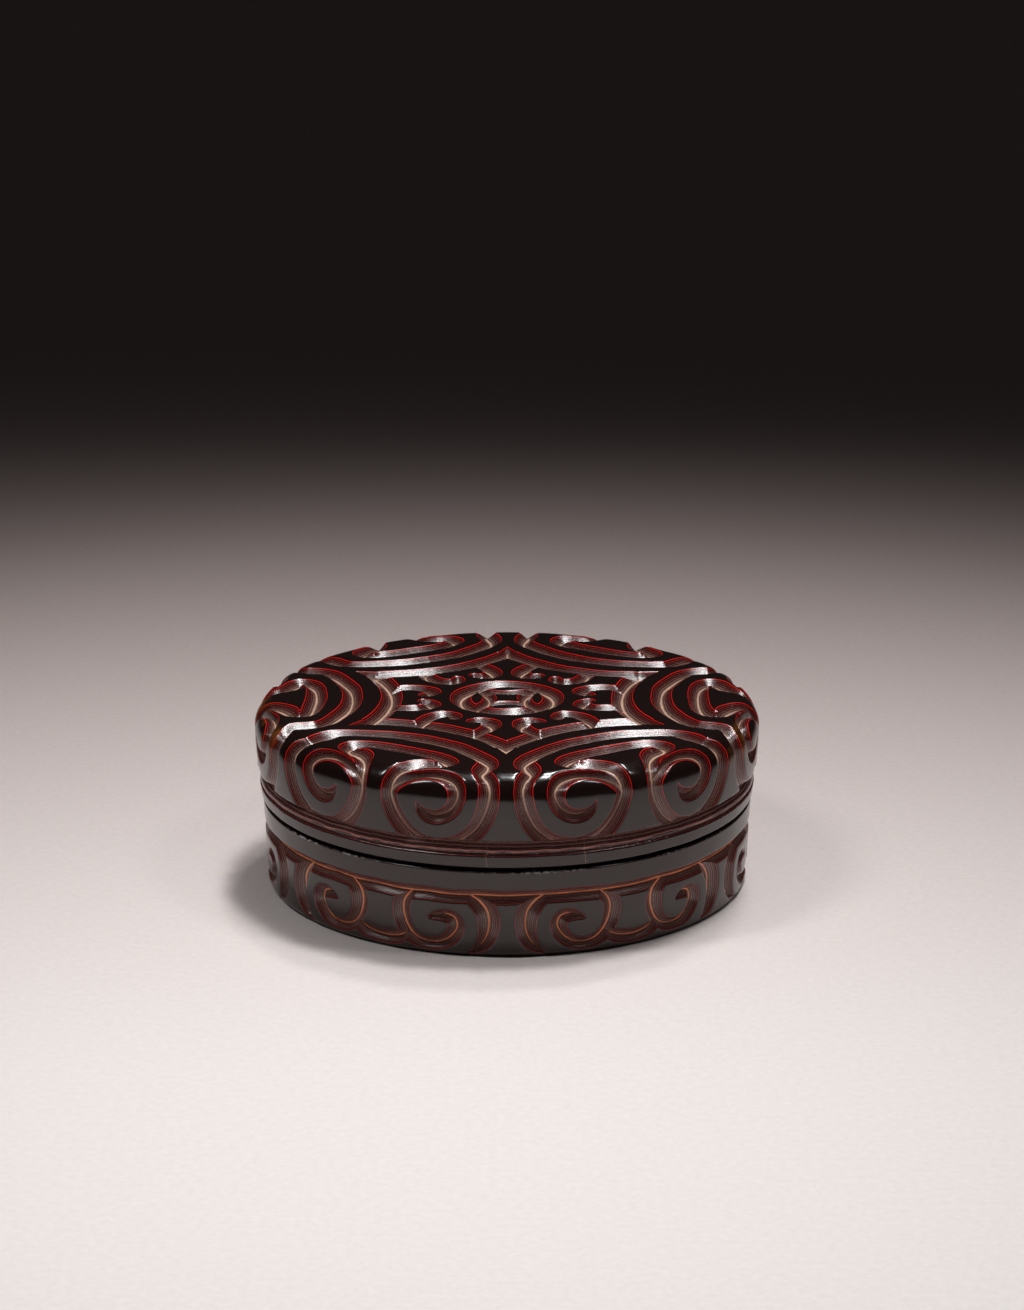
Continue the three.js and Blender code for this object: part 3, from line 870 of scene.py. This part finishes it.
BOX_FLOOR = [(0.55, 0.19, 0.10), (0.98, 0.34, 0.15)]
DUST = (0.60, 0.46, 0.41)
AMBER = (0.20, 0.060, 0.010)
PALE = (0.50, 0.30, 0.21)
# Pale bluish grey of the rim chips, which also stands in as a painted highlight on the rim's edge
CHIP_AND_GLINT = (0.55, 0.54, 0.56)

# Where the side coats, partly painted light, and the wear lie, in metres, from where each starts to where it
# is full
SIDE_Z = (0.0265, 0.0225)
AMBER_X = (0.031, 0.037)
AMBER_FROM_Z = (0.0225, 0.0250)
AMBER_TO_Z = (0.0290, 0.0284)
CRACK_Z = (0.0187, 0.0181)

# The pale chips lie about this height, just below the box's rim; they are partly painted highlights of the
# rim's worn edge
CHIP_GLINT_Z = (BOX_RIM_Z - 0.2) * MM

# Cracks at the cover's foot, as degrees from the front and strength
CRACKS = [(17.5, 0.5), (-4.3, 0.35), (-67, 0.3), (104, 0.45), (-142, 0.4)]


def coats(land, lines, floor):
    """Stops of a ramp over depth, from the land to the floor of a groove."""
    stops, dark = [(0, land)], land
    for at, line, after in lines:
        stops += [(at - 0.01, dark), (at, line), (at + 0.05, line), (at + 0.065, after)]
        dark = after
    return stops + [(1.10, dark), (1.17, floor[0]), (1.20, floor[1]), (DEEPEST, floor[1])]


class CarvedLacquer(Nodes):
    """Lacquer coloured by depth, as the coats come to light on the groove walls. The land is polished."""

    def __init__(self, name):
        super().__init__(name)
        depth = self.add("Attribute", attribute_type="GEOMETRY", attribute_name="depth").outputs["Fac"]
        self.on_wall = self.spread(depth, 0.04, 0.14, 0, 1)
        shift = self.spread(self.noise(300), 0.3, 0.7, -0.025, 0.025)
        self.depth = self.math("MULTIPLY", self.math("ADD", depth, shift), self.on_wall)
        streaks = self.add("TexNoise", noise_dimensions="1D")
        streaks.inputs["Scale"].default_value = 26
        streaks.inputs["Detail"].default_value = 3
        self.link(self.depth, streaks.inputs["W"])
        self.streaks = streaks.outputs["Fac"]
        self.place = self.position()

    def layers(self, side_floor):
        """The coats, browner and lighter on the side than on the top, the extra lightness being painted
        light for the side walls, with finer lines between the deeper ones.
        """
        side = self.spread(self.place["Z"], *SIDE_Z, 0, 1)
        share = self.spread(self.depth, 0, DEEPEST, 0, 1)
        kinds = coats(BLACK, TOP_LINES, TOP_FLOOR), coats(SIDE_LAND, SIDE_LINES, side_floor)
        ramps = [self.ramp(share, [(at / DEEPEST, c) for at, c in stops]) for stops in kinds]
        coloured = self.mix("MIX", side, *ramps)
        fine = self.spread(self.streaks, 0.35, 0.68, 0.35, 1.8)
        return self.mix("MULTIPLY", self.spread(self.depth, 0.3, 0.5, 0, 1), coloured, fine)

    def amber_wear(self, colour):
        """Amber where the shoulder's land has worn thin, at the far left and right."""
        worn = self.spread(self.noise(170), 0.46, 0.60, 0, 0.85)
        aside, z = self.math("ABSOLUTE", self.place["X"], 0), self.place["Z"]
        for value, limits in ((aside, AMBER_X), (z, AMBER_FROM_Z), (z, AMBER_TO_Z)):
            worn = self.math("MULTIPLY", worn, self.spread(value, *limits, 0, 1))
        worn = self.math("MULTIPLY", worn, self.spread(self.depth, 0.05, 0.5, 1, 0))
        return self.mix("MIX", worn, colour, AMBER)

    def cracks(self, colour):
        """Hairline cracks that run up from the cover's foot."""
        angle = self.math("ARCTAN2", self.place["X"], self.math("MULTIPLY", self.place["Y"], -1))
        waved = self.math("ADD", angle, self.spread(self.noise(500), 0.3, 0.7, -0.006, 0.006))
        low = self.spread(self.place["Z"], *CRACK_Z, 0, 1)
        for degrees, strength in CRACKS:
            off = self.math("ABSOLUTE", self.math("SUBTRACT", waved, math.radians(degrees)), 0)
            crack = self.math("MULTIPLY", self.spread(off, 0.0005, 0.0016, strength, 0), low)
            colour = self.mix("MIX", crack, colour, PALE)
        return colour

    def rim_chips_and_glints(self, colour):
        """Small pale marks along the outer edge of the box's rim: chips, and painted highlights where the
        worn edge catches the light.
        """
        chip_glint = self.spread(self.noise(1700), 0.46, 0.56, 0, 0.85)
        chip_glint = self.math("MULTIPLY", chip_glint, self.spread(self.noise(95), 0.47, 0.62, 0, 1))
        for low, high, first, last in ((-0.00022, 0, 0, 1), (0.00004, 0.00016, 1, 0)):
            near = self.spread(self.place["Z"], CHIP_GLINT_Z + low, CHIP_GLINT_Z + high, first, last)
            chip_glint = self.math("MULTIPLY", chip_glint, near)
        return self.mix("MIX", chip_glint, colour, CHIP_AND_GLINT)

    def finish(self, colour):
        """Dust in the grooves, and the gloss and grain of land and walls."""
        grain = self.noise(4200, 4, 0.65)
        dusty = self.math("MULTIPLY", self.spread(grain, 0.56, 0.70, 0, 0.45),
                          self.spread(self.depth, 0.25, 1.1, 0, 1))
        self.link(self.mix("MIX", dusty, colour, DUST), self.shader.inputs["Base Color"])
        wall_rough = self.spread(grain, 0.35, 0.65, 0.13, 0.27)
        land_rough = self.spread(self.noise(900, 4), 0.3, 0.7, 0.12, 0.20)
        self.link(self.blend(self.on_wall, land_rough, wall_rough), self.shader.inputs["Roughness"])
        cut_marks = self.math("MULTIPLY", self.streaks, 0.11)
        rough = self.math("ADD", self.math("MULTIPLY", grain, 0.5), cut_marks)
        polished = self.math("MULTIPLY", self.noise(500), 0.5)
        self.bump(self.math("ADD", self.math("MULTIPLY", rough, self.on_wall), polished), 0.000045)
        self.shader.inputs["IOR"].default_value = 1.52
        return self.material


def cover_lacquer():
    n = CarvedLacquer("cover_lacquer")
    return n.finish(n.cracks(n.amber_wear(n.layers(COVER_SIDE_FLOOR))))


def box_lacquer():
    n = CarvedLacquer("box_lacquer")
    # The rim chips are partly painted highlights of the rim's edge
    return n.finish(n.rim_chips_and_glints(n.layers(BOX_FLOOR)))


def black_lacquer():
    """Plain brown-black lacquer with brush waves and a satin gloss."""
    n = Nodes("black_lacquer")
    cloudy = n.noise(120, 4)
    n.link(n.ramp(cloudy, [(0.3, (0.010, 0.007, 0.006)), (0.7, (0.022, 0.014, 0.011))]),
           n.shader.inputs["Base Color"])
    n.link(n.spread(n.noise(400, 4), 0.3, 0.7, 0.2, 0.34), n.shader.inputs["Roughness"])
    n.bump(n.noise(160, 2), 0.00008)
    return n.material


def core_wood():
    """Thin straight-grained softwood."""
    n = Nodes("core_wood")
    grain = n.noise(500, 5, 0.6, (1, 0.06, 1))
    n.link(n.ramp(grain, [(0.35, (0.30, 0.19, 0.10)), (0.6, (0.46, 0.31, 0.17))]),
           n.shader.inputs["Base Color"])
    n.link(n.spread(grain, 0.3, 0.7, 0.55, 0.75), n.shader.inputs["Roughness"])
    n.bump(grain, 0.00006)
    return n.material


def ramie_cloth():
    """Coarse plain weave, stiff with raw lacquer."""
    n = Nodes("ramie_cloth")
    coordinates = n.add("TexCoord").outputs["Object"]
    threads = []
    for direction in ("X", "Y"):
        wave = n.add("TexWave", bands_direction=direction)
        wave.inputs["Scale"].default_value = 320
        wave.inputs["Distortion"].default_value = 1.2
        n.link(coordinates, wave.inputs["Vector"])
        threads.append(wave.outputs["Fac"])
    weave = n.math("MAXIMUM", *threads)
    n.link(n.ramp(weave, [(0.2, (0.07, 0.045, 0.025)), (0.9, (0.20, 0.14, 0.08))]),
           n.shader.inputs["Base Color"])
    n.link(n.spread(weave, 0, 1, 0.8, 0.6), n.shader.inputs["Roughness"])
    n.bump(weave, 0.0001)
    return n.material


def paper_floor():
    """Pale paper, with painted shade that makes it a little darker and redder towards the back."""
    n = Nodes("paper_floor")
    speckled = n.ramp(n.noise(900, 5), [(0.3, (0.74, 0.685, 0.665)), (0.7, (0.79, 0.735, 0.715))])
    # Painted shade: the paper darkens and reddens towards the back
    back_shade = n.spread(n.position()["Y"], -0.08, 0.25, 0, 1)
    n.link(n.mix("MULTIPLY", back_shade, speckled, (1.0, 0.86, 0.84)), n.shader.inputs["Base Color"])
    n.shader.inputs["Roughness"].default_value = 0.85
    n.shader.inputs["Specular IOR Level"].default_value = 0.15
    return n.material


# Pieces

black = black_lacquer()
for piece_name, mesh, material, node, slot in (
    ("cover_carving", cover_carving(), cover_lacquer(), "cover_carved_coat", "carved_lacquer"),
    ("box_carving", box_carving(), box_lacquer(), "box_carved_coat", "carved_lacquer"),
    ("cover_lining_coat", cover_lining(), black, "cover_lining", "black_lacquer"),
    ("box_lining_coat", box_lining(), black, "box_lining", "black_lacquer"),
    ("box_base_skin", base_coat(), black, "box_base_coat", "black_lacquer"),
):
    add_piece(piece_name, mesh, material, node.split("_")[0], node)

# The wood and the cloth stay the solids of the frame
for material, names in (
    (core_wood(), ("box_core_disc", "box_core_hoop", "box_lip_hoop", "cover_core_disc", "cover_core_hoop")),
    (ramie_cloth(), ("box_cloth_layer", "cover_cloth_layer")),
):
    for name in names:
        mesh = frame["nodes"][name].data
        mesh.materials.clear()
        mesh.materials.append(material)

# Stage


# The camera, matched to the ellipses of the photo's rims
CAMERA_AT = (0.0008, -0.5344, 0.1967)
CAMERA_TILT = 73.276
CAMERA_LENS = 97.15

FLOOR_HALF = 3.0
DIM_ROOM = (0.012, 0.0115, 0.0115, 1)


def floor():
    half = FLOOR_HALF
    data = bpy.data.meshes.new("floor")
    data.from_pydata([(-half, -half, 0), (half, -half, 0), (half, half, 0), (-half, half, 0)], [],
                     [(0, 1, 2, 3)])
    data.materials.append(paper_floor())
    piece = bpy.data.objects.new("floor", data)
    bpy.context.scene.collection.objects.link(piece)


def lamp(name, at, aim, size, power, spread):
    """A soft rectangular lamp; places are in metres, power in watts and the spread in degrees."""
    data = bpy.data.lights.new(name, "AREA")
    data.shape = "RECTANGLE"
    data.size, data.size_y = size
    data.energy = power
    data.spread = math.radians(spread)
    piece = bpy.data.objects.new(name, data)
    piece.location = at
    bpy.context.scene.collection.objects.link(piece)
    piece.rotation_euler = (Vector(aim) - Vector(at)).to_track_quat("-Z", "Y").to_euler()


def camera():
    data = bpy.data.cameras.new("camera")
    data.lens = CAMERA_LENS
    data.clip_start = 0.01
    piece = bpy.data.objects.new("camera", data)
    piece.location = CAMERA_AT
    piece.rotation_euler = (math.radians(CAMERA_TILT), 0, 0)
    bpy.context.scene.collection.objects.link(piece)
    bpy.context.scene.camera = piece


def world():
    made = bpy.data.worlds.new("world")
    made.use_nodes = True
    made.node_tree.nodes["Background"].inputs["Color"].default_value = DIM_ROOM
    bpy.context.scene.world = made


floor()

# The main lamps stand far off to the right and behind, and the lamps at the sides catch the low walls
lamp("key", (0.18, 0.11, 1.1), (-0.02, -0.15, 0), (0.15, 0.12), 0.28, 39)
lamp("panel", (0.17, 0.07, 1.0), (-0.02, -0.15, 0), (0.36, 0.26), 0.13, 43)
lamp("back", (0.15, 0.42, 1.05), (-0.02, -0.14, 0), (0.14, 0.12), 0.15, 40)
lamp("soft", (0.0, 0.0, 0.6), (-0.02, -0.15, 0), (0.40, 0.26), 0.08, 80)
lamp("left", (-0.23, -0.11, 0.42), (0.0, -0.05, 0), (0.05, 0.13), 0.06, 64)
lamp("right", (0.24, -0.10, 0.42), (0.0, -0.05, 0), (0.04, 0.08), 0.026, 64)

camera()
world()
bpy.context.scene.view_settings.view_transform = "Standard"
